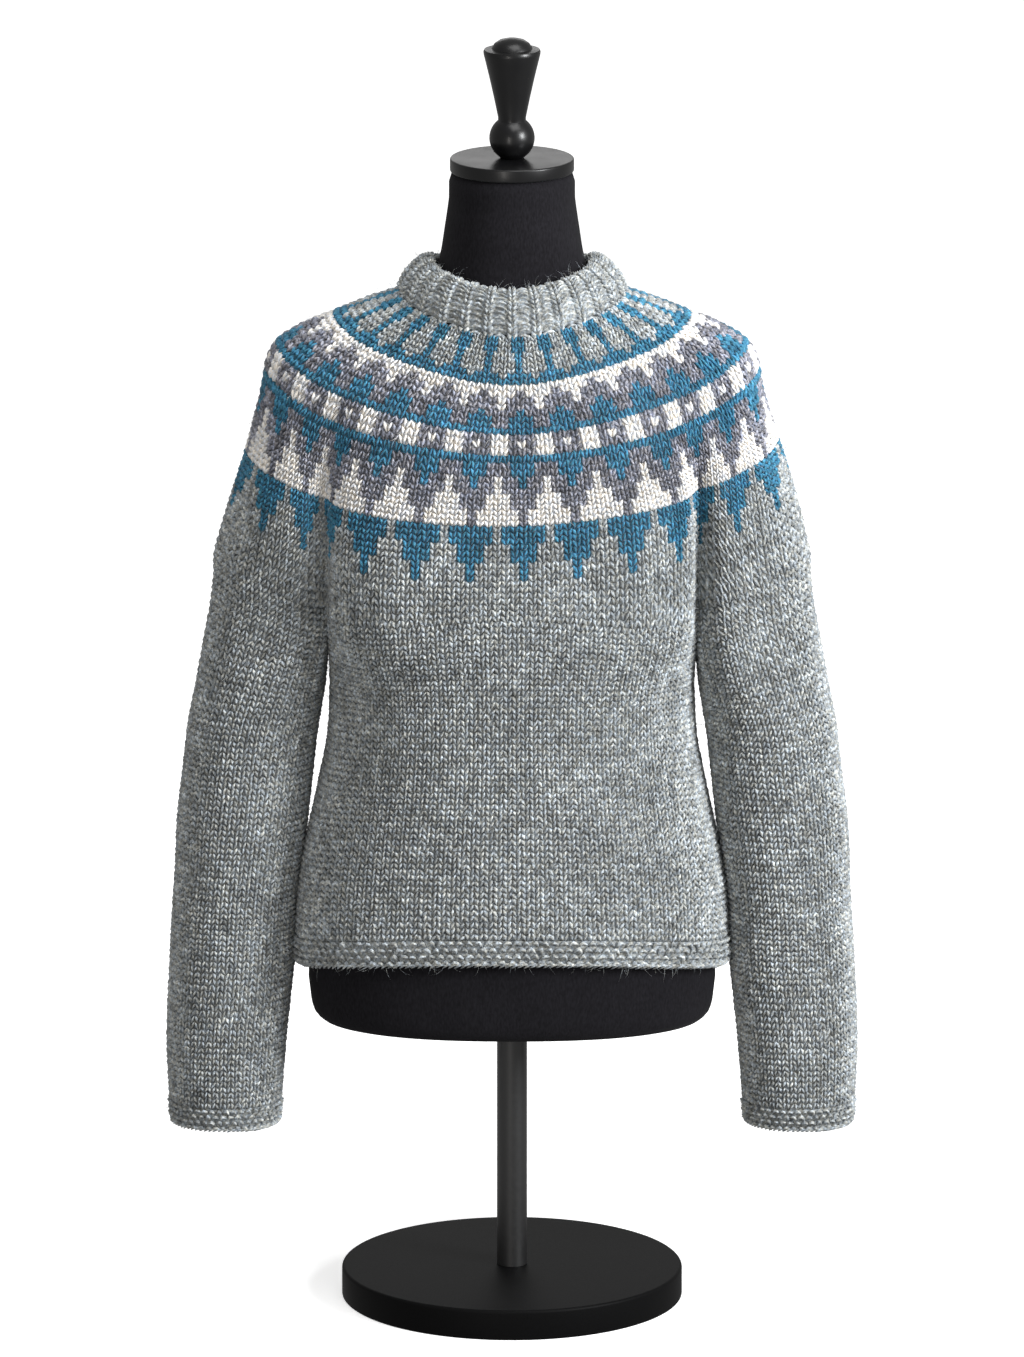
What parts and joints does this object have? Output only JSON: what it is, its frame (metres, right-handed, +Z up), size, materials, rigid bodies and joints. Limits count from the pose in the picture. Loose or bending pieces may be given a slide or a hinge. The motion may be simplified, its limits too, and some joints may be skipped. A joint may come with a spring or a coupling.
{
  "type": "nordic yoke sweater on limbless dress form with stand",
  "caption": "Long-sleeved pullover knitted in the round with a patterned round yoke, ribbed neck and garter edges, worn by a limbless dress form on a pole and round base.",
  "frame": {"origin": "middle of the base disc's flat underside, where the part rests", "axes": "+Z up along the pole, -Y towards the front of the sweater, +X to the right as seen from the front"},
  "size_m": [0.6278, 0.312, 1.1747],
  "materials": {
    "heather_wool": "matte fuzzy knitted wool, flecked grey",
    "patterned_wool": "matte fuzzy stranded knit in grey, blue, charcoal and cream",
    "rib_wool": "matte fuzzy 1x1 rib",
    "garter_wool": "matte fuzzy garter stitch",
    "jersey_cover": "matte fine jersey",
    "black_lacquer": "satin black lacquer",
    "black_steel": "satin black powder coat"
  },
  "bodies": {
    "root": {"sweater_body": "heather_wool", "sleeve_left": "heather_wool", "sleeve_right": "heather_wool", "yoke": "patterned_wool", "neckband": "rib_wool", "hem_band": "garter_wool", "cuff_left": "garter_wool", "cuff_right": "garter_wool", "dress_form": "jersey_cover", "neck_cap": "black_lacquer", "finial": "black_lacquer", "pole": "black_steel", "base_disc": "black_steel"}
  },
  "joints": []
}
